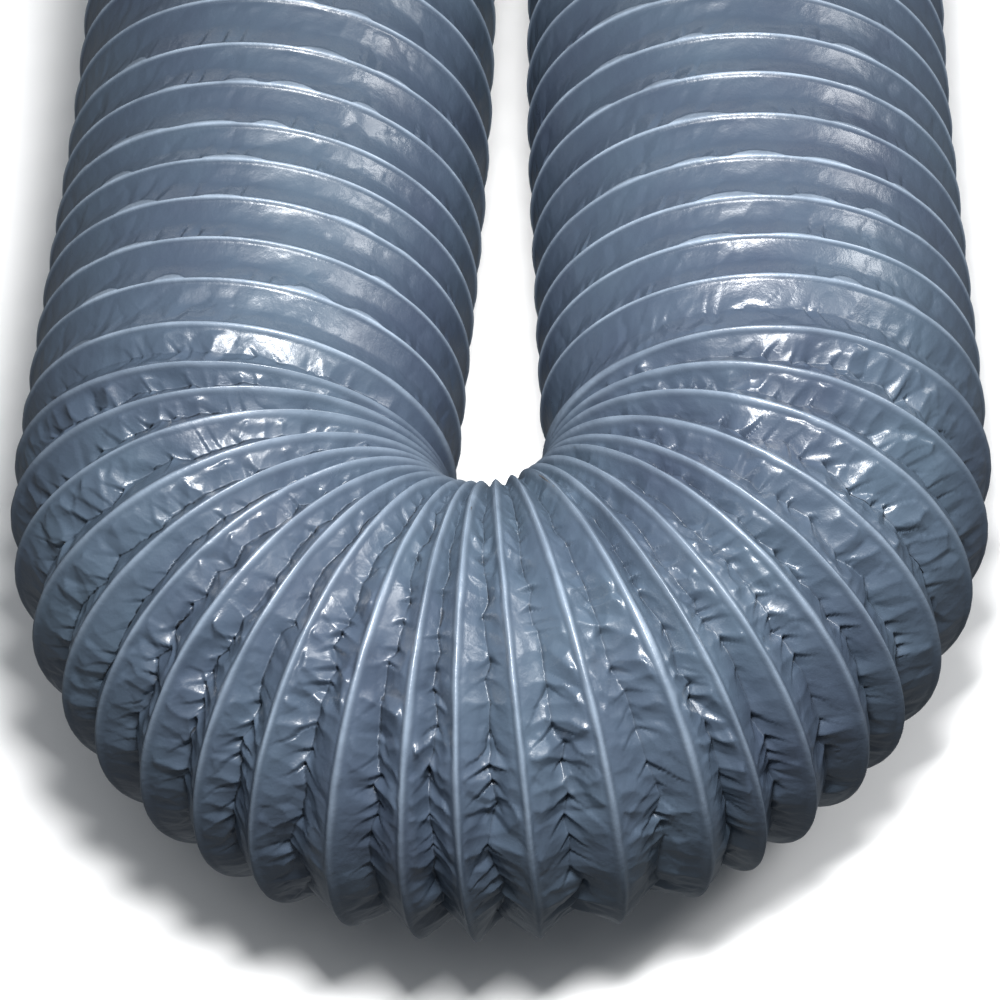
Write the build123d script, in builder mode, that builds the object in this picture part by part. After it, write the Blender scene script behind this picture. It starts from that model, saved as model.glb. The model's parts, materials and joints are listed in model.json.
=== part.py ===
from build123d import *
from math import cos, degrees, pi, radians, sin
import os

# Flexible air duct for ventilation and warm-air heating, 203 mm bore, lying flat in a tight U.
# One spring-steel wire runs through it as a left-handed helix, between an inner liner and an
# outer cover.  The U opens towards +Y.  Each end has a plain cuff that slips over a 200 mm
# spigot, and a worm-drive clamp round the cuff.
#
# Places along the duct are counted in wire turns from the middle of the bend: the bend is
# BEND_TURNS long, and each leg follows with LEG_TURNS.  The bend is cut into short stiff
# segments, each hinged to the next on its outermost line, where the wire crosses from one to
# the other.  Left is the -X leg.

# ---------------------------------------------------------------- driving dimensions, mm
BORE_R = 101.6
LINER_WALL = 0.4
WIRE_D = 1.8
COVER_WALL = 0.6
PLY_GAP = 0.1                 # room on each side of the wire, where the plies are glued to it

BEND_R = 126.0                # centre line of the tightest bend: the inner turns touch
LEG_LEAN = 3.22               # degrees, how far the legs lean in towards each other
BEND_TURNS = 22
SEGMENTS = 11
LEG_PITCH = 25.8
NEAR_TURNS = 6                # straight, leaning part of a leg
FAR_TURNS = 10                # part that turns parallel to +Y, and that folds up and stretches
EASE_RUN = 128.0              # length over which the lean is taken out again
SEGMENT_GAP = 0.3             # degrees between the faces of two segments
LEG_GAP = 0.4                 # between the last segment and a leg
WIRE_TRIM = 0.0005            # turns left off each end of a half turn of wire

CUFF_R = 100.8                # inside of the cuff, over a 100 mm radius spigot
CUFF_WALL = 0.5
CUFF_INSIDE = 20.0            # how far it reaches into the duct
CUFF_OUTSIDE = 55.0
HEM_WIDTH = 8.0
HEM_R = 102.2

CLAMP_AT = 30.0               # from the end of the duct to the middle of the band
BAND_R = 101.4
BAND_WALL = 0.7
BAND_WIDTH = 12.7
TAIL_R = 102.1                # the band's free end lies on its first layer
TAIL_SPAN = (-8.0, 26.0)      # degrees from the top, away from the screw's head
HOUSING_LENGTH = 18.0
HOUSING_WIDTH = 15.6
HOUSING_FOOT_R = 101.6
HOUSING_TOP_R = 112.4
HOUSING_ROUND = 4.0
CHANNEL_WIDTH = 13.1
CHANNEL_R = 103.1
SCREW_AXIS_R = 107.3
SCREW_R = 3.8
SCREW_CLEARANCE = 0.08
SCREW_END_PLAY = 0.4
HEAD_ACROSS_FLATS = 8.0
HEAD_LENGTH = 6.5
HEAD_COLLAR_R = 4.7
HEAD_COLLAR = 1.2
SLOT_WIDTH = 1.2
SLOT_DEPTH = 1.8

# ---------------------------------------------------------------- derived
WIRE_R = BORE_R + LINER_WALL + PLY_GAP + WIRE_D / 2
COVER_R = WIRE_R + WIRE_D / 2 + PLY_GAP
OUTER_R = COVER_R + COVER_WALL
HALF_BEND = 90.0 + LEG_LEAN
TURN_ANGLE = 2 * HALF_BEND / BEND_TURNS
SEGMENT_ANGLE = 2 * HALF_BEND / SEGMENTS
HALF_TURNS = BEND_TURNS / 2
LEG_TURNS = NEAR_TURNS + FAR_TURNS
LEAN_RUN = NEAR_TURNS * LEG_PITCH
EASE_R = EASE_RUN / radians(LEG_LEAN)


def course(turn):
    """Centre of the duct at a wire turn, and its heading in radians; bend centre at 0, 0."""
    side = 1 if turn >= 0 else -1
    bent = min(abs(turn), HALF_TURNS)
    along = (abs(turn) - bent) * LEG_PITCH
    lean = min(along, LEAN_RUN)
    ease = min(along - lean, EASE_RUN)
    straight = along - lean - ease
    heading = radians(bent * TURN_ANGLE)
    x = BEND_R * sin(heading) + lean * cos(heading)
    y = -BEND_R * cos(heading) + lean * sin(heading)
    eased = heading - ease / EASE_R
    x += EASE_R * (sin(heading) - sin(eased)) + straight * cos(eased)
    y += EASE_R * (cos(eased) - cos(heading)) + straight * sin(eased)
    return side * x, y, side * eased


# The origin is under the middle of the whole duct: this is where that puts the bend centre.
DUCT_END_Y = course(HALF_TURNS + LEG_TURNS)[1]
LEG_X = course(HALF_TURNS + LEG_TURNS)[0]
BEND_Y = (BEND_R + OUTER_R - DUCT_END_Y - CUFF_OUTSIDE) / 2
BEND_AXIS = Axis((0, BEND_Y, 0), (0, 0, 1))


def centre(turn):
    x, y, heading = course(turn)
    return Vector(x, y + BEND_Y, OUTER_R)


def outward(turn):
    """Unit vector away from the inside of the U, square to the duct."""
    heading = course(turn)[2]
    return Vector(sin(heading), -cos(heading), 0)


def along_duct(turn):
    heading = course(turn)[2]
    return Vector(cos(heading), sin(heading), 0)


def helix_point(turn):
    around = 2 * pi * turn
    return centre(turn) + outward(turn) * (WIRE_R * cos(around)) + Vector(0, 0, WIRE_R * sin(around))


# ---------------------------------------------------------------- the duct's three layers
os.makedirs("parts", exist_ok=True)


def write(part, node):
    part.label = node
    export_step(part, f"parts/{node}.step")


def ring(inner_r, wall):
    Circle(inner_r + wall)
    Circle(inner_r, mode=Mode.SUBTRACT)


def wire_span(node, first, last):
    """The wire between two turns: half turns of round wire end to end, each a piece of a torus."""
    halves = []
    for half in range(round(2 * (last - first))):
        start = first + half / 2
        low, high = start + WIRE_TRIM, start + 0.5 - WIRE_TRIM
        with BuildPart() as wire:
            with BuildLine() as path:
                arc = ThreePointArc(helix_point(low), helix_point(start + 0.25), helix_point(high))
            with BuildSketch(Plane(origin=arc @ 0, z_dir=arc % 0)):
                Circle(WIRE_D / 2)
            turned = degrees(arc.length / arc.radius)
            revolve(axis=Axis(arc.arc_center, arc.normal()), revolution_arc=turned)
        halves.append(wire.part.solid())
    write(Compound(children=halves), node)


def segment_tube(node, middle, inner_r, wall):
    """One segment of a ply: a short piece of a torus round the bend's axis."""
    first = middle - (SEGMENT_ANGLE - SEGMENT_GAP) / 2 / TURN_ANGLE
    start = Plane(origin=(0, BEND_Y, OUTER_R), x_dir=outward(first), z_dir=-along_duct(first))
    with BuildPart() as tube:
        with BuildSketch(start):
            with Locations((BEND_R, 0)):
                ring(inner_r, wall)
        revolve(axis=BEND_AXIS, revolution_arc=SEGMENT_ANGLE - SEGMENT_GAP)
    write(tube.part, node)


def near_tube(node, side, inner_r, wall):
    """The straight part of a leg, next to the bend."""
    with BuildPart() as tube:
        start = centre(side * HALF_TURNS) + along_duct(side * HALF_TURNS) * (side * LEG_GAP)
        with BuildSketch(Plane(origin=start, z_dir=along_duct(side * HALF_TURNS) * side)):
            ring(inner_r, wall)
        extrude(amount=LEAN_RUN - LEG_GAP)
    write(tube.part, node)


def far_tube(node, side, inner_r, wall):
    """The part of a leg that turns parallel to +Y, up to the duct's end."""
    start = side * (HALF_TURNS + NEAR_TURNS)
    ease_turns = side * EASE_RUN / LEG_PITCH
    with BuildPart() as tube:
        with BuildLine() as path:
            ThreePointArc(centre(start), centre(start + ease_turns / 2), centre(start + ease_turns))
            Line(centre(start + ease_turns), centre(side * (HALF_TURNS + LEG_TURNS)))
        with BuildSketch(Plane(origin=centre(start), z_dir=along_duct(start) * side)):
            ring(inner_r, wall)
        sweep()
    write(tube.part, node)


PLIES = {"liner": (BORE_R, LINER_WALL), "cover": (COVER_R, COVER_WALL)}
SIDES = {"left": -1, "right": 1}
TURNS_PER_SEGMENT = BEND_TURNS / SEGMENTS

for number in range(SEGMENTS):
    first = number * TURNS_PER_SEGMENT - HALF_TURNS
    segment = f"bend_{number + 1:02d}"
    for ply, (inner_r, wall) in PLIES.items():
        segment_tube(f"{segment}_{ply}", first + TURNS_PER_SEGMENT / 2, inner_r, wall)
    wire_span(f"{segment}_wire", first, first + TURNS_PER_SEGMENT)

for leg, side in SIDES.items():
    for ply, (inner_r, wall) in PLIES.items():
        near_tube(f"{leg}_near_{ply}", side, inner_r, wall)
        far_tube(f"{leg}_far_{ply}", side, inner_r, wall)
    bend_end = side * HALF_TURNS
    near_end = side * (HALF_TURNS + NEAR_TURNS)
    duct_end = side * (HALF_TURNS + LEG_TURNS)
    wire_span(f"{leg}_near_wire", min(bend_end, near_end), max(bend_end, near_end))
    wire_span(f"{leg}_far_wire", min(near_end, duct_end), max(near_end, duct_end))


# ---------------------------------------------------------------- cuffs and clamps
def end_plane(side, offset):
    """Square to a leg, offset from the duct's end; local x is +X, local y is up."""
    origin = (side * LEG_X, BEND_Y + DUCT_END_Y + offset, OUTER_R)
    return Plane(origin=origin, x_dir=(1, 0, 0), z_dir=(0, -1, 0))


def make_cuff(leg, side):
    with BuildPart() as cuff:
        with BuildSketch(end_plane(side, CUFF_OUTSIDE)):
            ring(CUFF_R, CUFF_WALL)
        extrude(amount=CUFF_INSIDE + CUFF_OUTSIDE)
        with BuildSketch(end_plane(side, CUFF_OUTSIDE)):
            ring(CUFF_R, HEM_R - CUFF_R)
        extrude(amount=HEM_WIDTH)
    write(cuff.part, f"{leg}_cuff")


def make_band(leg, side):
    """The clamp's band: a full turn, with its free end lying on top under the worm."""
    reach = 2 * TAIL_R
    first, last = (radians(90 + side * angle) for angle in TAIL_SPAN)
    corners = [(reach * cos(angle), reach * sin(angle)) for angle in (first, last)]
    with BuildPart() as band:
        with BuildSketch(end_plane(side, CLAMP_AT)):
            ring(TAIL_R, BAND_WALL)
            Polygon((0, 0), *corners, align=None, mode=Mode.INTERSECT)
            ring(BAND_R, BAND_WALL)
        extrude(amount=BAND_WIDTH / 2, both=True)
    write(band.part, f"{leg}_clamp_band")


def screw_plane(side, offset):
    """Square to the screw; local z points out of its head, away from the other leg."""
    origin = (side * (LEG_X + offset), BEND_Y + DUCT_END_Y + CLAMP_AT, OUTER_R + SCREW_AXIS_R)
    return Plane(origin=origin, x_dir=(0, 1, 0), z_dir=(side, 0, 0))


def make_housing(leg, side):
    """The clamp's housing: a saddle over the band, bored for the worm."""
    height = HOUSING_TOP_R - HOUSING_FOOT_R
    with BuildPart() as housing:
        with BuildSketch(end_plane(side, CLAMP_AT)):
            with Locations((0, HOUSING_FOOT_R + height / 2)):
                Rectangle(HOUSING_LENGTH, height)
        extrude(amount=HOUSING_WIDTH / 2, both=True)
        fillet(housing.edges().filter_by(Axis.X).group_by(Axis.Z)[-1], radius=HOUSING_ROUND)
        with BuildSketch(end_plane(side, CLAMP_AT)):
            Circle(CHANNEL_R)
        extrude(amount=CHANNEL_WIDTH / 2, both=True, mode=Mode.SUBTRACT)
        with BuildSketch(screw_plane(side, 0)):
            Circle(SCREW_R + SCREW_CLEARANCE)
        extrude(amount=HOUSING_LENGTH, both=True, mode=Mode.SUBTRACT)
    write(housing.part, f"{leg}_clamp_housing")


def make_screw(leg, side):
    """The worm, with a collar and a slotted hexagon head."""
    head_at = HOUSING_LENGTH / 2 + SCREW_END_PLAY
    with BuildPart() as screw:
        with BuildSketch(screw_plane(side, -head_at)):
            Circle(SCREW_R)
        extrude(amount=2 * head_at)
        with BuildSketch(screw_plane(side, head_at)):
            Circle(HEAD_COLLAR_R)
        extrude(amount=HEAD_COLLAR)
        with BuildSketch(screw_plane(side, head_at + HEAD_COLLAR)):
            RegularPolygon(HEAD_ACROSS_FLATS / 2, 6, major_radius=False)
        extrude(amount=HEAD_LENGTH)
        with BuildSketch(screw_plane(side, head_at + HEAD_COLLAR + HEAD_LENGTH)):
            Rectangle(2 * HEAD_ACROSS_FLATS, SLOT_WIDTH)
        extrude(amount=-SLOT_DEPTH, mode=Mode.SUBTRACT)
    write(screw.part, f"{leg}_clamp_screw")


for leg, side in SIDES.items():
    make_cuff(leg, side)
    make_band(leg, side)
    make_housing(leg, side)
    make_screw(leg, side)

print("duct end y", round(DUCT_END_Y + BEND_Y, 3), "leg x", round(LEG_X, 3), "bend y", round(BEND_Y, 3))
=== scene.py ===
"""Looks of the flexible air duct: a creased, ribbed cover over a wire helix, in a tight U."""
import json
from math import cos, pi, radians, sin

import bpy
import numpy as np
from mathutils import Matrix, Vector


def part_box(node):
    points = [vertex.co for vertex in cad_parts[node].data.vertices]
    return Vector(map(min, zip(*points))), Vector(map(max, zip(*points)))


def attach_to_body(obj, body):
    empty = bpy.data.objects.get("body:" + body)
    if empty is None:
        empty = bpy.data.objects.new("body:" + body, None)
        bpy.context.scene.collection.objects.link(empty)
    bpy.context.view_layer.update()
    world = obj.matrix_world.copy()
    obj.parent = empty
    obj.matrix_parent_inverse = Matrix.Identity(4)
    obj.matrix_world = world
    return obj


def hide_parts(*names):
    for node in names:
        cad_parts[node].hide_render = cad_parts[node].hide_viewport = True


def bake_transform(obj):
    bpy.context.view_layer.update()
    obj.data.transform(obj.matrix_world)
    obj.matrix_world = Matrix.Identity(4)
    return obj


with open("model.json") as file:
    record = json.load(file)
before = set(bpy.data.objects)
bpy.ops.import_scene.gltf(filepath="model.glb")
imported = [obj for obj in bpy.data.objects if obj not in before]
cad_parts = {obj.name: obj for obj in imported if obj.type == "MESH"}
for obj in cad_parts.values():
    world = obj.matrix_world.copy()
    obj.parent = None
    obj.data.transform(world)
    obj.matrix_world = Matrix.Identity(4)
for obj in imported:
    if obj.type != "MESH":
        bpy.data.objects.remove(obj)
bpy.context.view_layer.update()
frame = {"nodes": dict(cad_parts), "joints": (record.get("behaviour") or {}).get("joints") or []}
joints = {joint["name"]: joint for joint in frame["joints"]}

# ---------------------------------------------------------------- the duct's course, metres
# Places along the duct are counted in wire turns from the middle of the bend, as in the CAD.
BEND_TURNS = 22
HALF_TURNS = BEND_TURNS / 2
TURNS_PER_SEGMENT = 2
LEG_PITCH = 0.0258
NEAR_TURNS = 6
FAR_TURNS = 10
EASE_RUN = 0.128              # over this length a leg turns parallel to +Y

low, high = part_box("bend_06_cover")
OUTER_R = (high.z - low.z) / 2
hinge = joints["right_bend"]
SEGMENT_ANGLE = radians(hinge["range_deg"][1])
HINGE_R = hinge["pos_m"][0] / sin(SEGMENT_ANGLE / 2)
BEND_R = HINGE_R - OUTER_R
BEND_Y = hinge["pos_m"][1] + HINGE_R * cos(SEGMENT_ANGLE / 2)
TURN_ANGLE = SEGMENT_ANGLE / TURNS_PER_SEGMENT
LEAN_RUN = NEAR_TURNS * LEG_PITCH
EASE_R = EASE_RUN / (HALF_TURNS * TURN_ANGLE - pi / 2)
LEG_TURNS = NEAR_TURNS + FAR_TURNS
DUCT_END = HALF_TURNS + LEG_TURNS


def course(turn):
    """Centre x, y and heading of the duct at an array of turns."""
    side = np.where(turn >= 0, 1.0, -1.0)
    bent = np.minimum(abs(turn), HALF_TURNS)
    along = (abs(turn) - bent) * LEG_PITCH
    lean = np.minimum(along, LEAN_RUN)
    ease = np.minimum(along - lean, EASE_RUN)
    straight = along - lean - ease
    heading = bent * TURN_ANGLE
    eased = heading - ease / EASE_R
    x = BEND_R * np.sin(heading) + lean * np.cos(heading)
    y = -BEND_R * np.cos(heading) + lean * np.sin(heading)
    x += EASE_R * (np.sin(heading) - np.sin(eased)) + straight * np.cos(eased)
    y += EASE_R * (np.cos(eased) - np.cos(heading)) + straight * np.sin(eased)
    return side * x, y + BEND_Y, side * eased


def place(turn, around, radius):
    """Points at a radius from the centre line; around is 0 on the outside of the U, pi/2 on top."""
    x, y, heading = course(turn)
    out = radius * np.cos(around)
    return np.stack([x + out * np.sin(heading), y - out * np.cos(heading),
                     OUTER_R + radius * np.sin(around)], axis=-1)


# ---------------------------------------------------------------- the wire's turns
WIRE_D = 0.0018
WIRE_R = OUTER_R - 0.0016     # from the duct's centre line to the wire's
PHASE = -0.25                 # the bend's middle turn crosses the top at turn 0
# How far each turn has slid from its even place, in turns, from turn -19 to turn 20.
SLIDES = [0.70, 0.65, 0.65, 0.50, 0.40, 0.35, 0.30, 0.30, 0.25, 0.10,
          0.05, 0.25, 0.30, 0.15, 0.15, 0.10, 0.00, 0.20, 0.15, -0.10,
          -0.10, 0.10, 0.30, 0.00, -0.15, -0.15, -0.45, -0.40, -0.20, -0.20,
          -0.10, 0.10, 0.00, -0.10, -0.15, -0.15, -0.15, -0.20, -0.15, -0.15]
FIRST_SLIDE = -19
SLIDE_FADE = 5.0              # turns over which the sliding fades out towards the ends


def wire_place(wound):
    """Where the wire is along the duct, in turns, once it has been wound this many turns."""
    at = wound + PHASE
    knots = FIRST_SLIDE + np.arange(len(SLIDES))
    fade_low = FIRST_SLIDE - SLIDE_FADE
    fade_high = knots[-1] + SLIDE_FADE
    knots = np.concatenate([[fade_low], knots, [fade_high]])
    slides = np.concatenate([[0.0], SLIDES, [0.0]])
    return at + np.interp(at, knots, slides)


# ---------------------------------------------------------------- noise
def lattice(ix, iy, seed):
    """A repeatable random number from 0 to 1 for each lattice point."""
    ix, iy = ix.astype(np.int64), iy.astype(np.int64)
    h = (ix * 374761393 + iy * 668265263 + seed * 974634777) & 0xFFFFFFFF
    h = ((h ^ (h >> 13)) * 1274126177) & 0xFFFFFFFF
    h = ((h ^ (h >> 16)) * 2246822519) & 0xFFFFFFFF
    return (h ^ (h >> 15)) / 4294967295.0


def noise(x, y, seed):
    """Smooth gradient noise, about -1 to 1."""
    x0, y0 = np.floor(x), np.floor(y)
    fx, fy = x - x0, y - y0
    sx = fx * fx * fx * (fx * (fx * 6 - 15) + 10)
    sy = fy * fy * fy * (fy * (fy * 6 - 15) + 10)

    def corner(i, j):
        turn = lattice(x0 + i, y0 + j, seed) * 2 * pi
        return np.cos(turn) * (fx - i) + np.sin(turn) * (fy - j)

    below = corner(0, 0) * (1 - sx) + corner(1, 0) * sx
    above = corner(0, 1) * (1 - sx) + corner(1, 1) * sx
    return 1.5 * (below * (1 - sy) + above * sy)


def smooth(x, low, high):
    """0 up to low, 1 from high on, and an S-shaped rise between them."""
    t = np.clip((x - low) / (high - low), 0, 1)
    return t * t * (3 - 2 * t)


# ---------------------------------------------------------------- the skin between the turns
MM = 0.001
BEAD_FLAT = 0.4 * MM          # half of the rib's top, where the cover lies on the wire
BEAD_FOOT = 1.6 * MM          # half of its foot, where the plies are glued together
BEAD_HEIGHT = 0.9 * MM
BEND_DEPTH = 12.6 * MM        # how far the cover falls in between two ribs
LEG_DEPTH = 3.2 * MM
PINCH_RUN = 13.0 * MM         # from one pinch of the puckered valley to the next
PUCKER_HEIGHT = 2.3 * MM
FACET_HEIGHT = 1.25 * MM
PLEAT_RUN = 11 * MM
PLEAT_HEIGHT = 3.0 * MM
TUCK_RUN = 34 * MM            # from one tuck beside a leg's rib to the next
TUCK_SLOPE = 0.30
TUCK_SHARE = 0.6              # of the places for a tuck, how many have one
FOLD_SHADE_HALF = 1.0 * MM        # half of the painted shade along the bottom of a fold
BAND_HALF = 3.1 * MM          # half of the paler band on the bend's ribs: partly wear rubbed by the wire, partly painted highlight
END_TAPER = 14 * MM           # the duct's end is drawn in onto its cuff over this length
END_DROP = 0.6 * MM
FLAT_FROM = 12 * MM           # no folds nearer to the end than this
FLAT_TO = 50 * MM             # and the full depth from here on


def crumple(u, v, seed, tilt=0.9):
    """Lower envelope of randomly tilted bowls: facets that meet in sharp ridges, about 0 to 1."""
    iu, iv = np.floor(u), np.floor(v)
    lowest = np.full(np.broadcast(u, v).shape, 9.0)
    for i in (-1, 0, 1):
        for j in (-1, 0, 1):
            cu, cv = iu + i, iv + j
            du = u - cu - 0.15 - 0.7 * lattice(cu, cv, seed)
            dv = v - cv - 0.15 - 0.7 * lattice(cu, cv, seed + 101)
            tilt_u = tilt * (lattice(cu, cv, seed + 202) - 0.5)
            tilt_v = tilt * (lattice(cu, cv, seed + 303) - 0.5)
            lowest = np.minimum(lowest, du * du + dv * dv + tilt_u * du + tilt_v * dv)
    return lowest


def zigzag(x, seed):
    """Straight runs between a random height from 0 to 1 at each whole number."""
    cell = np.floor(x)
    ends = lattice(cell, cell * 0, seed), lattice(cell + 1, cell * 0, seed)
    return ends[0] + (ends[1] - ends[0]) * (x - cell)


def saw(x, rise):
    """A wave that rises from 0 to 1 over this share of each whole number and falls over the rest."""
    share = x - np.floor(x)
    return np.where(share < rise, share / rise, (1 - share) / (1 - rise))


def half_panel(panel, around):
    """Half of the way from one turn of the wire to the next, along the outside."""
    lag = around / (2 * pi)
    ends = (place(wire_place(panel + i + lag), around, OUTER_R) for i in (0, 1))
    return np.linalg.norm(next(ends) - next(ends), axis=-1) / 2


def end_drop(turn):
    """How far the duct is drawn in at its ends, onto the cuffs."""
    from_end = (DUCT_END - abs(turn)) * LEG_PITCH
    return END_DROP * (1 - smooth(from_end, 0, END_TAPER))


def bend_puckers(run, pinches, from_seam, w, flank):
    """Sharp folds from the pinches of a bend's valley up over both flanks, unevenly, about -1 to 1."""
    slope = 0.9 + 0.5 * noise(run / 0.03, flank * 40, 16)
    pinch = pinches + slope * abs(from_seam) / PINCH_RUN
    cell = np.floor(pinch)
    size = lattice(cell, run * 0, 6) * w ** 2 + lattice(cell, flank, 17) * (1 - w ** 2)
    size = 0.12 + 1.9 * size ** 2.0
    reach = 0.25 + 0.75 * lattice(cell, flank, 12)
    fade = smooth(w, 1 - reach, 1.0) ** 0.8
    return fade * size * (saw(pinch, 0.17) - 0.5)


def crumpled_facets(run, from_seam, in_bend):
    """Facets of two sizes over a whole panel, about -1 to 1."""
    u = run / 0.0135
    v = from_seam / 0.013
    warp = 0.6 * noise(u * 0.5, v * 0.5, 7)
    coarse = crumple(u * 0.62 + warp, v * 0.8 + 0.35 * u, 8)
    fine = crumple(1.55 * u + 0.5 * v, 1.3 * v + warp, 9)
    return 1.5 * (0.42 - coarse) + (0.55 + 0.5 * in_bend) * (fine - 0.38)


def leg_pleats(run, beyond, from_near, side):
    """Short pleats that run out from the far side of each of a leg's ribs, about -0.5 to 0.5."""
    zero = run * 0
    pleats = run / PLEAT_RUN + 0.9 * noise(run / 0.03, zero, 13) + side * beyond * 0.5
    cell = np.floor(pleats)
    reach = 0.25 + 0.45 * lattice(cell, zero, 18)
    fade = smooth(from_near, 1.0 * MM, 2.6 * MM) * (1 - smooth(beyond, 0.1, reach))
    pleated = smooth(noise(run / 0.055, zero, 19), -0.35, 0.4) * lattice(cell, zero, 21) ** 1.5
    return fade * pleated * (saw(pleats, 0.2) - 0.5)


def leg_tucks(run, around, from_near):
    """Flat, narrow tucks on top of a leg, where the slack is pushed up against a rib.

    Returns how firmly each point is held in a tuck, and the tuck's swell there, both 0 to 1.
    """
    zero = run * 0
    along = run / TUCK_RUN + 0.5 * noise(run / 0.09, zero, 14)
    cell = np.floor(along)
    aside = (along - cell - 0.5 - 0.3 * (lattice(cell, zero, 22) - 0.5)) * TUCK_RUN
    swell = np.maximum(1 - (aside / ((7 + 9 * lattice(cell, zero, 23)) * MM)) ** 2, 0)
    swell = swell * np.where(lattice(cell, zero, 24) < TUCK_SHARE, 1.0, 0.0)
    swell = swell * smooth(np.sin(around), 0.45, 0.9)
    width = (1.2 + 3.4 * lattice(cell, zero, 25)) * MM * swell + 0.3 * MM
    return smooth(swell, 0, 0.35) * (1 - smooth(from_near, width, width + 1.1 * MM)), swell


def skin_radius(turn, around, wound):
    """Radius of the outer skin, and a mark for the material: 1 on a rib's crest, which is painted pale
    as partly wear and partly highlight, and -1 along the bottom of a fold, which gets painted shade.
    """
    panel = np.floor(wound)
    across = wound - panel
    half = half_panel(panel, around)
    in_bend = 1 - smooth(abs(turn), HALF_TURNS - 1.5, HALF_TURNS + 2)
    on_leg = 1 - in_bend
    outside = 0.5 + 0.5 * np.cos(around)
    upper = 0.35 + 0.65 * smooth(np.sin(around), -0.1, 0.75)

    # one long coordinate along the helix, so that the creases run on from turn to turn
    run = (panel + around / (2 * pi)) * 2 * pi * OUTER_R
    zero = run * 0
    pinches = run / PINCH_RUN + 1.6 * noise(run / 0.045, zero, 5) + 0.5 * noise(run / 0.015, zero, 15)

    # w is 0 at a rib and 1 at the seam between two ribs, where the panel's two flanks meet
    seam = 0.5 + 0.07 * noise(run / 0.045, zero, 1) + 0.22 * (zigzag(pinches, 2) - 0.5) * in_bend
    rising = across < seam
    flank = np.where(rising, 0.0, 1.0)
    w = np.where(rising, across / seam, (1 - across) / (1 - seam))
    from_seam = np.where(rising, -1.0, 1.0) * (1 - w) * half
    from_rib = w * half

    # two flat flanks where the bend pulls the cover tight, a slack hollow on the legs
    folded = w ** (1.12 + 0.3 * noise(run / 0.16, zero, 4))
    slack = 1 - (1 - w) ** 1.6
    depth = BEND_DEPTH * (0.55 + 0.45 * outside) * in_bend + LEG_DEPTH * on_leg
    depth = depth * smooth(half, 0.3 * MM, 7 * MM) * (1 + 0.16 * noise(run / 0.11, zero, 3))
    sink = depth * (folded * in_bend + slack * on_leg)
    bead = 1 - smooth(from_rib, BEAD_FLAT + 0.5 * MM * in_bend, BEAD_FOOT + 1.2 * MM * in_bend)
    sink = sink + BEAD_HEIGHT * (1 - bead) * smooth(half, 1.0 * MM, 4.0 * MM)

    # the valley is shorter round than the crests, so it gathers in pinches
    strength = in_bend * smooth(outside, 0.05, 0.45) * smooth(half, 2 * MM, 9 * MM)
    strength = strength * (0.6 + 0.5 * upper)
    rise = PUCKER_HEIGHT * strength * bend_puckers(run, pinches, from_seam, w, flank)

    # the whole panel is crumpled, in patches
    patchy = smooth(noise(run / 0.07, turn * 0.7, 11), -0.5, 0.5)
    height = FACET_HEIGHT * smooth(from_rib, 1.5 * MM, 5 * MM) * (0.35 + 1.05 * patchy)
    height = height * (0.55 + (2.2 * upper - 0.55) * in_bend)
    rise = rise + height * crumpled_facets(run, from_seam, in_bend)

    # beyond and from_near count from the rib nearer to the bend, as a share and in metres
    beyond = np.where(turn > 0, across, 1 - across)
    from_near = beyond * 2 * half
    rise = rise + PLEAT_HEIGHT * on_leg * leg_pleats(run, beyond, from_near, np.sign(turn))
    held, swell = leg_tucks(run, around, from_near)
    held = held * on_leg
    sink = sink + (TUCK_SLOPE * np.maximum(from_near - 0.6 * MM, 0) + rise - sink) * held

    # the ribs are painted paler, partly as wear rubbed by the wire and partly as a painted highlight
    # that is stronger on top in the bend; the tucks' paleness is painted highlight, and the bottoms of
    # the folds get painted shade
    from_end = (DUCT_END - abs(turn)) * LEG_PITCH
    flat = smooth(from_end, FLAT_FROM, FLAT_TO)
    band = (0.15 + 0.6 * upper) * (1 - smooth(from_rib, BEAD_FLAT, BAND_HALF))
    rib = np.maximum(bead * (1 - (0.9 - 0.45 * upper) * in_bend), band * in_bend) * flat
    # painted highlight on the tucks
    rib = np.maximum(rib, 0.8 * held * smooth(swell, 0.1, 0.5) * flat)
    # painted shade along the bottom of each fold in the bend
    painted_fold_shade = in_bend * (1 - smooth(abs(from_seam), 0, FOLD_SHADE_HALF)) * smooth(half, 3 * MM, 8 * MM)
    painted_fold_shade = painted_fold_shade * (0.65 + 0.35 * smooth(noise(run / 0.02, zero, 20), -0.5, 0.6))
    return OUTER_R - np.maximum((sink - rise) * flat, 0.0) - end_drop(turn), rib - painted_fold_shade


# ---------------------------------------------------------------- meshes
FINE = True
ROUND_STEPS = 720 if FINE else 400
BEND_STEPS = 40 if FINE else 22      # columns of the skin in one turn of the bend
LEG_STEPS = 28 if FINE else 18
CROWDING = 0.4                       # how much closer the columns stand at ribs and folds


FOLD_MARK = -0.25                    # below this mark a column is at the bottom of a fold


def add_mesh(name, points, faces, normals=None):
    """A smooth mesh object from arrays of points and four-sided faces."""
    mesh = bpy.data.meshes.new(name)
    mesh.vertices.add(len(points))
    mesh.vertices.foreach_set("co", np.asarray(points, np.float32).ravel())
    mesh.loops.add(faces.size)
    mesh.loops.foreach_set("vertex_index", faces.astype(np.int32).ravel())
    mesh.polygons.add(len(faces))
    mesh.polygons.foreach_set("loop_start", np.arange(len(faces), dtype=np.int32) * faces.shape[1])
    mesh.polygons.foreach_set("use_smooth", np.ones(len(faces), bool))
    mesh.update(calc_edges=True)
    mesh.validate()
    if normals is not None:
        mesh.normals_split_custom_set_from_vertices(normals.reshape(-1, 3))
    obj = bpy.data.objects.new(name, mesh)
    bpy.context.scene.collection.objects.link(obj)
    return obj


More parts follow.
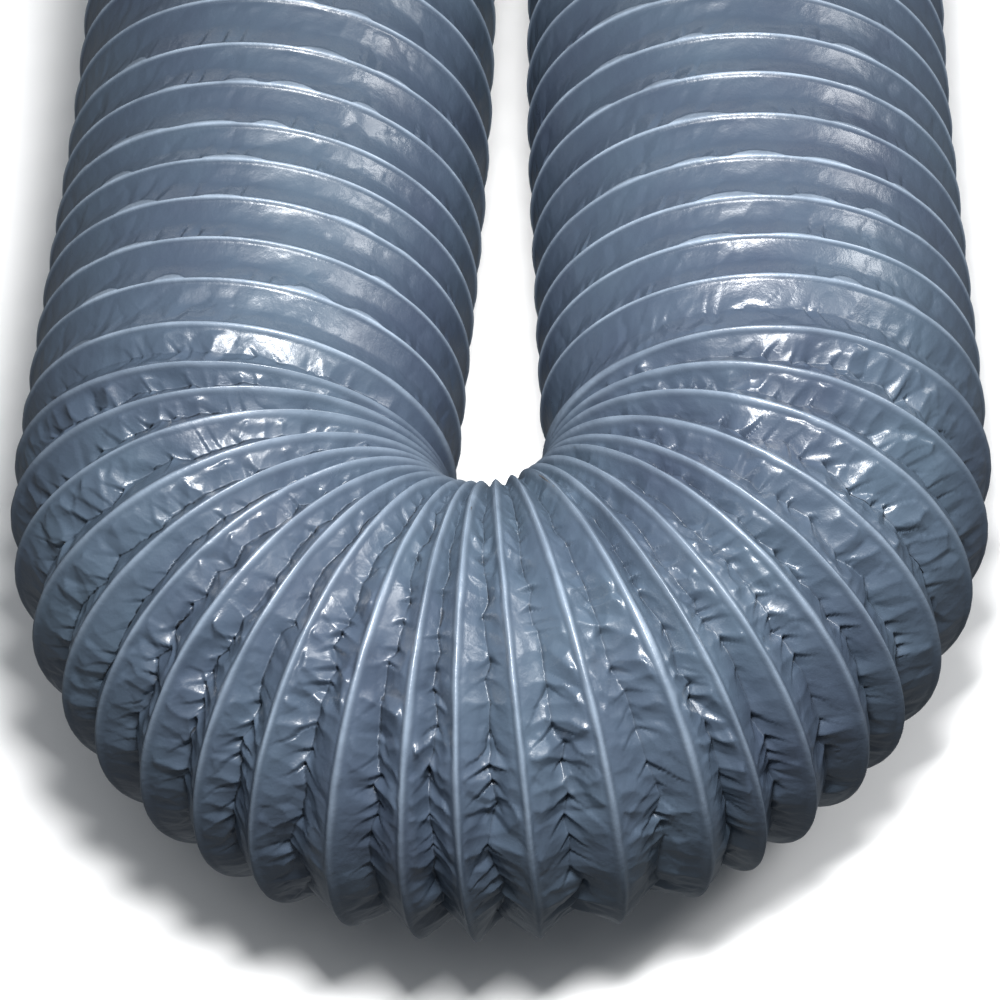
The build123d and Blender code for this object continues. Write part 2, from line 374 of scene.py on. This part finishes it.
def grid_faces(columns, rows, flip=False):
    """Faces of a grid whose rows run round a loop."""
    i, j = np.meshgrid(np.arange(columns - 1), np.arange(rows), indexing="ij")
    k = (j + 1) % rows
    faces = np.stack([i * rows + j, (i + 1) * rows + j, (i + 1) * rows + k, i * rows + k], axis=-1)
    faces = faces.reshape(-1, 4)
    return faces[:, ::-1] if flip else faces


def grid_normals(points, rib_and_fold_mark):
    """Unit normals of a closed grid; the bottom of a fold takes those of the flank beyond it."""
    along = np.gradient(points, axis=0)
    beyond = np.roll(points, -2, axis=0) - np.roll(points, -1, axis=0)
    along = np.where((rib_and_fold_mark < FOLD_MARK)[..., None], beyond, along)
    round_it = np.roll(points, -1, axis=1) - np.roll(points, 1, axis=1)
    normals = np.cross(along, round_it)
    return normals / np.linalg.norm(normals, axis=-1, keepdims=True)


# wire_place as a table, which wound_at reads the other way round
WINDS = np.arange(-DUCT_END - 6, DUCT_END + 7, 1 / 64)
WIND_PLACES = wire_place(WINDS)


def wound_at(turn, around):
    """How many turns the wire has been wound where a row at this angle meets this turn."""
    lag = around / (2 * pi)
    # the wire passes this angle at whole turns plus lag, so count from there
    return np.interp(turn, WIND_PLACES, WINDS) - lag


def crowd(x):
    """Turns wound, stretched so that even steps of the result are closer at ribs and folds."""
    return x + CROWDING / (4 * pi) * np.sin(4 * pi * x)


CROWD_X = np.arange(-DUCT_END - 8, DUCT_END + 9, 1 / 64)
CROWD_Y = crowd(CROWD_X)


def skin_grid(first, last, steps_per_turn, rows):
    """turn, around and wound for each grid point of a stretch of skin; a column beyond each end."""
    columns = int(round((last - first) * steps_per_turn)) + 1
    around = np.arange(rows) * 2 * pi / rows
    low, high = (crowd(wound_at(np.full(rows, end), around)) for end in (first, last))
    share = np.arange(-1, columns + 1)[:, None] / (columns - 1)
    wound = np.interp(low + (high - low) * share, CROWD_Y, CROWD_X)
    turn = wire_place(wound + around / (2 * pi))
    turn[1], turn[-2] = first, last
    return turn, np.broadcast_to(around, turn.shape), wound


PLY_STEP = 0.0032             # the liner lies this far inside the cover, clear of its puckers
END_STEP = 0.0026             # and this far at the ends, round the cuff
STEP_FROM = 22 * MM           # between these distances from the end the step grows
STEP_TO = 45 * MM
FOLD_STEP = 2 * MM            # the liner is this much deeper under the bottom of a fold
LINER_R = OUTER_R - END_STEP


def cover_points(turn, around, wound):
    """The skin itself."""
    radius, rib_and_fold_mark = skin_radius(turn, around, wound)
    return place(turn, around, radius), rib_and_fold_mark


def liner_points(turn, around, wound):
    """The same folds one step further in, and nowhere outside the liner's own tube."""
    radius, rib_and_fold_mark = skin_radius(turn, around, wound)
    from_end = (DUCT_END - abs(turn)) * LEG_PITCH
    step = END_STEP + (PLY_STEP - END_STEP) * smooth(from_end, STEP_FROM, STEP_TO)
    radius = radius - step + FOLD_STEP * np.minimum(rib_and_fold_mark, 0)
    return place(turn, around, np.minimum(radius, LINER_R - end_drop(turn))), rib_and_fold_mark


def wire_points(first, last, rows=10):
    """A tube along the wire, between two places along the duct."""
    start, stop = np.interp([first, last], WIND_PLACES, WINDS)
    wound = np.linspace(start, stop, int((stop - start) * (120 if FINE else 72)) + 1)
    turn = wire_place(wound)
    around = 2 * pi * wound
    centre = place(turn, around, WIRE_R - end_drop(turn))
    ahead = np.gradient(centre, axis=0)
    ahead /= np.linalg.norm(ahead, axis=1, keepdims=True)
    out = place(turn, around, WIRE_R + 1) - centre
    side = np.cross(ahead, out)
    ring = np.arange(rows) * 2 * pi / rows
    points = centre[:, None] + WIRE_D / 2 * (
        np.cos(ring)[None, :, None] * out[:, None] + np.sin(ring)[None, :, None] * side[:, None])
    return points, np.broadcast_to(turn[:, None], points.shape[:2])


# ---------------------------------------------------------------- pieces and how they move
ALL_SEGMENTS = [f"bend_{i + 1:02d}" for i in range(BEND_TURNS // TURNS_PER_SEGMENT)]
MIDDLE = len(ALL_SEGMENTS) // 2


def chain(side):
    """The bodies from the middle of the bend to one end."""
    sign = 1 if side == "right" else -1
    return [ALL_SEGMENTS[MIDDLE + sign * i] for i in range(MIDDLE + 1)] + [f"{side}_leg"]


def leg_share(turn, ribs=None):
    """How far a place on the far leg goes with its end.

    With the turns of the ribs before and after it given, it goes in steps from rib to rib.
    """
    def evenly(t):
        return (abs(t) - HALF_TURNS - NEAR_TURNS) / FAR_TURNS

    share = evenly(turn)
    if ribs is not None:
        before, after = ribs
        step = smooth((turn - before) / (after - before), 0.1, 0.9)
        stepped = evenly(before) + (evenly(after) - evenly(before)) * step
        from_ends = np.minimum(share, 1 - share) * FAR_TURNS
        share = share + (stepped - share) * smooth(from_ends, 0, 1.2)
    return np.clip(share, 0, 1)


def stretches(side):
    """name, near end, far end, steps per turn, bodies it joins and the CAD segment it shows."""
    bodies = chain(side)
    found = []
    for i in range(1, MIDDLE + 1):
        nodes = [bodies[i]] + ([bodies[0]] if i == 1 and side == "right" else [])
        ends = TURNS_PER_SEGMENT * (i - 1), TURNS_PER_SEGMENT * i
        found.append((f"{side}_{i}", *ends, BEND_STEPS, (bodies[i - 1], bodies[i]), nodes))
    ends = TURNS_PER_SEGMENT * MIDDLE, HALF_TURNS
    found.append((f"{side}_6", *ends, BEND_STEPS, (bodies[MIDDLE], bodies[-1]), []))
    near_end = HALF_TURNS + NEAR_TURNS
    found.append((f"{side}_7", HALF_TURNS, near_end, LEG_STEPS, None, [f"{side}_near"]))
    bodies = (f"{side}_leg", f"{side}_end")
    found.append((f"{side}_8", near_end, DUCT_END, LEG_STEPS, bodies, [f"{side}_far"]))
    return found


def attach(obj, side, stretch, turn, layer, ribs=None):
    """Parents a stretch with no bodies to its leg; any other stretch only has its transform applied
    and is tied to no body. Hides the CAD nodes the stretch replaces.
    """
    _, near, far, _, bodies, nodes = stretch
    if bodies is None:
        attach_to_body(obj, f"{side}_leg")
    else:
        sign = 1 if side == "right" else -1
        ends = [Vector(place(np.array(float(sign * t)), np.array(0.0), 0.0)) for t in (near, far)]
        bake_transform(obj)
        if bodies[1].endswith("_end"):
            leg_share(turn, ribs)
    for node in nodes:
        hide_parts(f"{node}_{layer}")


def make_skin(layer, maker, rows, thin):
    """The cover or the liner, stretch by stretch, with the mark of its ribs and folds kept for the
    material: pale ribs, partly wear and partly painted highlight, and painted shade in the folds.
    """
    made = []
    for side in ("left", "right"):
        for stretch in stretches(side):
            name, near, far, steps = stretch[:4]
            first, last = (near, far) if side == "right" else (-far, -near)
            turn, around, wound = skin_grid(float(first), float(last), steps / thin, rows)
            points, rib_and_fold_mark = maker(turn, around, wound)
            panel = np.floor(wound)
            ribs = [wire_place(panel + i + around / (2 * pi))[1:-1] for i in (0, 1)]
            normals = grid_normals(points, rib_and_fold_mark)[1:-1]
            points, turn, rib_and_fold_mark = points[1:-1], turn[1:-1], rib_and_fold_mark[1:-1]
            inward = layer == "liner"
            if inward:
                normals = -normals
            faces = grid_faces(len(points), rows, flip=inward)
            obj = add_mesh(f"{layer}_{name}", points.reshape(-1, 3), faces, normals)
            on_skin = obj.data.attributes.new("rib_and_fold_mark", "FLOAT", "POINT")
            on_skin.data.foreach_set("value", rib_and_fold_mark.astype(np.float32).ravel())
            attach(obj, side, stretch, turn, layer, ribs)
            made.append(obj)
    return made


def make_wire():
    """The wire's helix, stretch by stretch."""
    made = []
    for side in ("left", "right"):
        for stretch in stretches(side):
            name, near, far = stretch[:3]
            first, last = (near, far) if side == "right" else (-far, -near)
            points, turn = wire_points(first, last)
            faces = grid_faces(*points.shape[:2], flip=True)
            obj = add_mesh(f"wire_{name}", points.reshape(-1, 3), faces)
            attach(obj, side, stretch, turn, "wire")
            made.append(obj)
    return made


# ---------------------------------------------------------------- cuffs and clamp bands
CLAMP_AT = 30 * MM            # from the duct's end to the middle of the clamp
BAND_WIDTH = 12.7 * MM
ROUND_CUFF = 480 if FINE else 240
# Sections are (from the duct's end, radius) in mm: the hem's roll, the cuff's wall, and the tape
# sewn over the joint.
HEM = [(54.3, 100.8), (54.9, 101.1), (55.0, 101.6), (54.6, 102.05), (53.6, 102.2), (51.0, 102.3),
       (48.6, 102.2), (47.6, 102.0), (47.1, 101.6), (46.4, 101.35)]
WALL = [(y, 101.3) for y in np.linspace(45.5, -20.0, 46)]
WALL += [(y, 100.8) for y in np.linspace(-20.0, 53.5, 46)]
TAPE = [(7.6, 101.35), (7.4, 101.75), (6.8, 101.95), (5.0, 102.25), (2.6, 103.1), (0.8, 104.0),
        (-0.6, 104.4), (-3.0, 104.5), (-4.8, 104.52), (-5.1, 104.4), (-5.0, 104.2), (-3.0, 104.15),
        (-0.6, 104.1), (0.8, 103.65), (2.6, 102.75), (5.0, 101.6)]
SEAMS = [(48.4, 102.25), (52.6, 102.2), (5.8, 102.1), (-3.6, 104.35)]
STITCHES = 176                # in one row
PLEAT_ON_CUFF = 0.55 * MM
SLACK_ON_CUFF = 0.22 * MM


def end_centre(side):
    sign = 1 if side == "right" else -1
    return place(np.array(float(sign * DUCT_END)), np.array(0.0), 0.0)


def on_end(side, offset, radius, around):
    """Points round a leg's end, this far out from the duct's end."""
    x, y, z = end_centre(side)
    ones = np.ones(np.broadcast(offset, radius, around).shape)
    x, z = x + radius * np.cos(around), z + radius * np.sin(around)
    return np.stack([x, (y + offset) * ones, z], axis=-1)


def loop_faces(columns, rows):
    """Faces of a grid that is closed both ways."""
    i, j = np.meshgrid(np.arange(columns), np.arange(rows), indexing="ij")
    i, j = i.ravel(), j.ravel()
    m, k = (i + 1) % columns, (j + 1) % rows
    return np.stack([i * rows + j, m * rows + j, m * rows + k, i * rows + k], axis=-1)


def stitches(side, offset, radius, length=2.5 * MM, thick=0.24 * MM):
    """A row of stitches round a cuff: short threads that dip into the cloth at both ends."""
    along = np.array([-0.5, -0.36, 0.36, 0.5])[None, :, None]
    width = np.array([0.3, 1.0, 1.0, 0.3])[None, :, None] * thick
    dip = np.array([-0.30, 0.0, 0.0, -0.30])[None, :, None] * MM
    ring = (np.arange(6) * 2 * pi / 6)[None, None, :]
    middle = (np.arange(STITCHES) * 2 * pi / STITCHES)[:, None, None]
    around = middle + along * length / radius + 0 * ring
    points = on_end(side, offset + width * np.cos(ring) + 0 * around,
                    radius + dip + width * np.sin(ring) + 0 * around, around)
    tube = grid_faces(4, 6)
    caps = np.array([[0, 1, 2, 3], [3, 4, 5, 0], [21, 20, 19, 18], [18, 23, 22, 21]])
    one = np.concatenate([tube, caps])
    faces = (np.arange(STITCHES)[:, None, None] * 24 + one[None]).reshape(-1, 4)
    return points.reshape(-1, 3), faces


def make_cuff(side, cloth, thread):
    """The soft end of the duct, with a rolled hem, and taped and sewn onto the duct's end."""
    around = np.arange(ROUND_CUFF) * 2 * pi / ROUND_CUFF
    section = HEM + WALL
    offset, radius = (np.array(values)[:, None] * MM for values in zip(*section))
    # the clamp gathers the cloth into small pleats on both sides of it
    away = abs(offset - CLAMP_AT) - BAND_WIDTH / 2
    pleated = smooth(away, 0, 4 * MM) * (1 - smooth(away, 6 * MM, 16 * MM))
    beyond = smooth(offset, 9 * MM, 14 * MM)
    ruck = noise(around * 11 + 3.1, away / 0.012, 31) + 0.5 * noise(around * 29, away / 0.008, 32)
    # the noise doesn't meet itself where around starts again, so it fades out there
    uneven = 0.25 * np.sin(around) ** 2 * ruck
    pleats = PLEAT_ON_CUFF * pleated * (uneven + 0.25 * np.sin(around * 34))
    slack = SLACK_ON_CUFF * noise(np.cos(around) * 1.7 + offset / 0.05, np.sin(around) * 1.7, 33)
    radius = radius + beyond * (pleats + slack)
    wall = on_end(side, offset, radius, around[None, :])
    parts = [(wall.reshape(-1, 3), loop_faces(len(section), ROUND_CUFF))]
    offset, radius = (np.array(values)[:, None] * MM for values in zip(*TAPE))
    tape = on_end(side, offset, radius + 0 * around, around[None, :])
    parts.append((tape.reshape(-1, 3), loop_faces(len(TAPE), ROUND_CUFF)))
    cloth_faces = sum(len(faces) for _, faces in parts)
    for at, out in SEAMS:
        parts.append(stitches(side, at * MM, out * MM))
    points, faces, count = [], [], 0
    for some_points, some_faces in parts:
        points.append(some_points)
        faces.append(some_faces + count)
        count += len(some_points)
    obj = add_mesh(f"{side}_cuff_cloth", np.concatenate(points), np.concatenate(faces))
    obj.data.materials.append(cloth)
    obj.data.materials.append(thread)
    which = np.ones(len(obj.data.polygons), np.int32)
    which[:cloth_faces] = 0
    obj.data.polygons.foreach_set("material_index", which)
    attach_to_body(obj, f"{side}_end")
    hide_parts(f"{side}_cuff")


SLOT_PITCH = 3.2 * MM
SLOT_SIZE = (1.4 * MM, 7.2 * MM)
SLOT_LEAN = radians(6)
SLOTS = range(-36, 12)        # counted from the top, towards the band's free end
BAND_R = 102 * MM             # the slots are set out at this radius
SLOT_TOP_R = 104.2 * MM
SLOT_FLOOR_R = 101.65 * MM    # in the band's first layer
TAIL_FLOOR_R = 102.35 * MM    # in its free end, which lies on that layer
TAIL_FROM = radians(-9.5)


def make_band(side, steel):
    """The clamp's band from the CAD, with the slots that the worm runs in pressed into it."""
    sign = 1 if side == "right" else -1
    node = frame["nodes"][f"{side}_clamp_band"]
    obj = node.copy()
    obj.data = node.data.copy()
    obj.name = f"{side}_clamp_strip"
    bpy.context.scene.collection.objects.link(obj)
    step = SLOT_PITCH / BAND_R
    points, faces = [], []
    for k in SLOTS:
        angle = pi / 2 + sign * (k + 0.5) * step
        floor_r = SLOT_FLOOR_R if k * step < TAIL_FROM else TAIL_FLOOR_R
        for u, v in ((-1, -1), (1, -1), (1, 1), (-1, 1)):
            across = v * SLOT_SIZE[1] / 2
            swing = (u * SLOT_SIZE[0] / 2 + across * sin(SLOT_LEAN)) / BAND_R
            for r in (floor_r, SLOT_TOP_R):
                points.append(on_end(side, CLAMP_AT + across, r, np.array(angle + swing)))
        low = len(points) - 8
        quads = [(0, 2, 4, 6), (7, 5, 3, 1), (0, 1, 3, 2), (2, 3, 5, 4), (4, 5, 7, 6), (6, 7, 1, 0)]
        faces += [[low + q for q in quad] for quad in quads]
    cutter = add_mesh("slot_cutter", np.array(points), np.array(faces))
    cut = obj.modifiers.new("slots", "BOOLEAN")
    cut.operation = "DIFFERENCE"
    cut.object = cutter
    cut.solver = "EXACT"
    bpy.context.view_layer.update()
    mesh = bpy.data.meshes.new_from_object(obj.evaluated_get(bpy.context.evaluated_depsgraph_get()))
    obj.modifiers.clear()
    obj.data = mesh
    bpy.data.objects.remove(cutter)
    mesh.materials.clear()
    mesh.materials.append(steel)
    mesh.shade_flat()
    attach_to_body(obj, f"{side}_end")
    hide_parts(f"{side}_clamp_band")


# ---------------------------------------------------------------- materials
class Shader:
    """A short way to write a node material: each call adds a node and links it."""

    def __init__(self, name):
        self.material = bpy.data.materials.new(name)
        self.material.use_nodes = True
        self.tree = self.material.node_tree
        self.bsdf = self.tree.nodes["Principled BSDF"]
        self.coords = self.tree.nodes.new("ShaderNodeTexCoord").outputs["Object"]

    def set(self, **values):
        for name, value in values.items():
            self.bsdf.inputs[name.replace("_", " ")].default_value = value

    def node(self, kind, **settings):
        made = self.tree.nodes.new(kind)
        for name, value in settings.items():
            setattr(made, name, value)
        return made

    def link(self, start, end):
        self.tree.links.new(start, end)

    def noise(self, scale, detail=4.0, roughness=0.55, distortion=0.0, stretch=None):
        made = self.node("ShaderNodeTexNoise")
        made.inputs["Scale"].default_value = scale
        made.inputs["Detail"].default_value = detail
        made.inputs["Roughness"].default_value = roughness
        made.inputs["Distortion"].default_value = distortion
        coords = self.coords
        if stretch:
            mapping = self.node("ShaderNodeMapping")
            mapping.inputs["Scale"].default_value = stretch
            self.link(coords, mapping.inputs["Vector"])
            coords = mapping.outputs["Vector"]
        self.link(coords, made.inputs["Vector"])
        return made.outputs["Fac"]

    def ramp(self, value, stops):
        made = self.node("ShaderNodeValToRGB")
        ramp = made.color_ramp
        while len(ramp.elements) < len(stops):
            ramp.elements.new(0.5)
        for element, (at, colour) in zip(ramp.elements, stops):
            element.position = at
            element.color = (*colour, 1)
        self.link(value, made.inputs["Fac"])
        return made.outputs["Color"]

    def scale(self, value, from_low, from_high, to_low, to_high):
        made = self.node("ShaderNodeMapRange")
        ends = (from_low, from_high, to_low, to_high)
        for name, end in zip(("From Min", "From Max", "To Min", "To Max"), ends):
            made.inputs[name].default_value = end
        self.link(value, made.inputs["Value"])
        return made.outputs["Result"]

    def math(self, operation, first, second):
        made = self.node("ShaderNodeMath", operation=operation)
        for socket, value in zip(made.inputs, (first, second)):
            if isinstance(value, (int, float)):
                socket.default_value = value
            else:
                self.link(value, socket)
        return made.outputs["Value"]

    def mix(self, share, first, second):
        """Colours: first where share is 0, second (three numbers) where it is 1."""
        made = self.node("ShaderNodeMix", data_type="RGBA")
        self.link(share, made.inputs["Factor"])
        self.link(first, made.inputs["A"])
        made.inputs["B"].default_value = (*second, 1)
        return made.outputs["Result"]

    def bump(self, height, distance, strength=1.0, before=None):
        made = self.node("ShaderNodeBump")
        made.inputs["Distance"].default_value = distance
        made.inputs["Strength"].default_value = strength
        self.link(height, made.inputs["Height"])
        if before:
            self.link(before, made.inputs["Normal"])
        return made.outputs["Normal"]


def grey(level):
    return (level, level, level)


COVER_DARK = (0.032, 0.043, 0.067)
COVER_PALE = (0.049, 0.071, 0.098)
# paler colour of the ribs and tucks: partly wear, partly painted highlight
RIB_WEAR_AND_HIGHLIGHT = (0.210, 0.258, 0.320)
# painted shade for the bottoms of the folds
FOLD_PAINTED_SHADE = (0.018, 0.026, 0.040)


def cover_material():
    """Grey-blue coated fabric: semi-gloss, cloudy, grained, pale on the ribs (partly wear, partly
    painted highlight), with painted shade and duller gloss in the folds.
    """
    m = Shader("cover_coated_fabric")
    cloudy = m.ramp(m.noise(9.0, detail=5.0), [(0.32, COVER_DARK), (0.68, COVER_PALE)])
    rib_and_fold_mark = m.node("ShaderNodeAttribute", attribute_name="rib_and_fold_mark").outputs["Fac"]
    on_rib = m.math("MAXIMUM", rib_and_fold_mark, 0.0)
    in_fold = m.math("MAXIMUM", m.math("MULTIPLY", rib_and_fold_mark, -1.0), 0.0)
    patchy = m.ramp(m.noise(45.0, detail=6.0), [(0.3, grey(0.45)), (0.7, grey(1.0))])
    # paler ribs and tucks: partly rubbed wear, partly painted highlight
    rubbed_and_highlight = m.math("MULTIPLY", m.math("POWER", on_rib, 2.2), patchy)
    colour = m.mix(rubbed_and_highlight, cloudy, RIB_WEAR_AND_HIGHLIGHT)
    # painted shade in the folds
    colour = m.mix(m.math("MULTIPLY", in_fold, 0.35), colour, FOLD_PAINTED_SHADE)
    m.link(colour, m.bsdf.inputs["Base Color"])
    gloss = m.scale(m.noise(42.0, detail=6.0, roughness=0.6), 0.3, 0.7, 0.26, 0.42)
    m.link(m.math("ADD", gloss, m.math("MULTIPLY", in_fold, 0.15)), m.bsdf.inputs["Roughness"])
    dents = m.bump(m.noise(210.0, detail=3.0), 0.0006, 0.55)
    grain = m.bump(m.noise(1500.0, detail=2.0), 0.00012, 0.5, before=dents)
    m.link(grain, m.bsdf.inputs["Normal"])
    m.set(Specular_IOR_Level=0.5)
    return m.material


def liner_material():
    """Aluminium and polyester laminate, finely crinkled."""
    m = Shader("liner_laminate")
    m.link(m.ramp(m.noise(30.0), [(0.3, grey(0.50)), (0.7, grey(0.66))]), m.bsdf.inputs["Base Color"])
    m.link(m.scale(m.noise(120.0), 0.3, 0.7, 0.26, 0.42), m.bsdf.inputs["Roughness"])
    m.link(m.bump(m.noise(260.0, detail=5.0, distortion=0.6), 0.0012, 0.8), m.bsdf.inputs["Normal"])
    m.set(Metallic=1.0)
    return m.material


def wire_material():
    """Coppered spring steel."""
    m = Shader("spring_wire")
    m.link(m.ramp(m.noise(60.0), [(0.3, (0.30, 0.25, 0.21)), (0.7, (0.46, 0.40, 0.35))]),
           m.bsdf.inputs["Base Color"])
    m.link(m.scale(m.noise(300.0), 0.3, 0.7, 0.28, 0.45), m.bsdf.inputs["Roughness"])
    m.set(Metallic=1.0)
    return m.material


def cuff_material():
    """Matte black coated cloth."""
    m = Shader("cuff_fabric")
    m.link(m.ramp(m.noise(25.0), [(0.3, (0.030, 0.034, 0.040)), (0.7, (0.048, 0.053, 0.060))]),
           m.bsdf.inputs["Base Color"])
    m.link(m.scale(m.noise(200.0), 0.3, 0.7, 0.50, 0.66), m.bsdf.inputs["Roughness"])
    m.link(m.bump(m.noise(900.0, detail=2.0), 0.0003, 0.7), m.bsdf.inputs["Normal"])
    return m.material


def thread_material():
    """Grey sewing thread."""
    m = Shader("cuff_thread")
    m.link(m.ramp(m.noise(700.0), [(0.3, grey(0.13)), (0.7, grey(0.21))]), m.bsdf.inputs["Base Color"])
    m.link(m.scale(m.noise(900.0), 0.3, 0.7, 0.55, 0.7), m.bsdf.inputs["Roughness"])
    return m.material


def steel_material(name, colour, rough_low, rough_high, brush):
    """Bright steel, brushed along the axis in which brush is smallest."""
    m = Shader(name)
    darker = tuple(c * 0.82 for c in colour)
    cloudy = m.ramp(m.noise(70.0, detail=6.0), [(0.3, darker), (0.7, colour)])
    m.link(cloudy, m.bsdf.inputs["Base Color"])
    streaks = m.noise(900.0, detail=3.0, stretch=brush)
    m.link(m.scale(streaks, 0.3, 0.7, rough_low, rough_high), m.bsdf.inputs["Roughness"])
    m.link(m.bump(streaks, 0.00004, 0.5), m.bsdf.inputs["Normal"])
    m.set(Metallic=1.0)
    return m.material


# ---------------------------------------------------------------- the duct
cover = cover_material()
for piece in make_skin("cover", cover_points, ROUND_STEPS, 1):
    piece.data.materials.append(cover)
liner = liner_material()
for piece in make_skin("liner", liner_points, ROUND_STEPS // 3, 2.5):
    piece.data.materials.append(liner)
wire = wire_material()
for piece in make_wire():
    piece.data.materials.append(wire)

cloth, thread = cuff_material(), thread_material()
strip = steel_material("clamp_strip", (0.72, 0.72, 0.70), 0.22, 0.36, (1, 0.05, 1))
node_materials = {
    "clamp_housing": steel_material("clamp_housing", (0.66, 0.66, 0.65), 0.26, 0.40, (1, 1, 0.1)),
    "clamp_screw": steel_material("clamp_screw", (0.58, 0.56, 0.50), 0.24, 0.38, (0.1, 1, 1)),
}
for side in ("left", "right"):
    make_cuff(side, cloth, thread)
    make_band(side, strip)
    for node, material in node_materials.items():
        mesh = frame["nodes"][f"{side}_{node}"].data
        mesh.materials.clear()
        mesh.materials.append(material)


# ---------------------------------------------------------------- camera, floor and light
def make_camera():
    """A long lens from in front and above, leaning, on the U's bend."""
    azimuth, elevation, roll = radians(10.17), radians(53.13), radians(-11.06)
    distance = 21.0 * OUTER_R
    target = Vector((0.0009, BEND_Y - 0.0076, OUTER_R))
    back = Vector((sin(azimuth) * cos(elevation), -cos(azimuth) * cos(elevation), sin(elevation)))
    camera = bpy.data.objects.new("camera", bpy.data.cameras.new("camera"))
    bpy.context.scene.collection.objects.link(camera)
    turned = (-back).to_track_quat("-Z", "Y").to_matrix() @ Matrix.Rotation(roll, 3, "Z")
    camera.matrix_world = Matrix.Translation(target + back * distance) @ turned.to_4x4()
    camera.data.lens = 168.65
    camera.data.sensor_width = 36
    camera.data.clip_end = 50
    bpy.context.scene.camera = camera


def area_light(name, place_at, aim, size, power):
    """A white softbox, this wide and high in metres, with its power in watts."""
    light = bpy.data.objects.new(name, bpy.data.lights.new(name, "AREA"))
    light.data.shape = "RECTANGLE"
    light.data.size, light.data.size_y = size
    light.data.energy = power
    light.location = place_at
    light.rotation_mode = "QUATERNION"
    light.rotation_quaternion = (Vector(aim) - Vector(place_at)).to_track_quat("-Z", "Y")
    bpy.context.scene.collection.objects.link(light)


def make_floor():
    """White paper under the duct."""
    bpy.ops.mesh.primitive_plane_add(size=14, location=(0, 0, -0.0005))
    floor = bpy.context.object
    floor.name = "floor"
    m = Shader("floor_paper")
    m.link(m.ramp(m.noise(3.0), [(0.3, grey(0.93)), (0.7, grey(0.95))]), m.bsdf.inputs["Base Color"])
    m.set(Roughness=0.85, Specular_IOR_Level=0.2)
    floor.data.materials.append(m.material)
    # it takes shadows but throws no light back up, so that the duct's underside stays dark
    floor.visible_diffuse = False
    floor.visible_glossy = False


make_camera()
make_floor()
area_light("above", (0.1, -0.4, 2.2), (-0.1, -0.15, 0.1), (2.0, 1.4), 10)
area_light("gloss", (0.12, -0.36, 0.92), (0.02, -0.24, 0.15), (0.27, 0.19), 20)
area_light("strip", (0.1, 2.1, 0.85), (0.0, 0, 0.15), (3.0, 0.24), 6)
area_light("right", (1.6, 0.3, 1.25), (0.0, -0.1, 0.1), (0.6, 0.45), 23)
world = bpy.data.worlds.new("studio")
bpy.context.scene.world = world
world.use_nodes = True
world.node_tree.nodes["Background"].inputs["Color"].default_value = (0.86, 0.93, 1.0, 1)
world.node_tree.nodes["Background"].inputs["Strength"].default_value = 0.22
bpy.context.scene.view_settings.view_transform = "Standard"
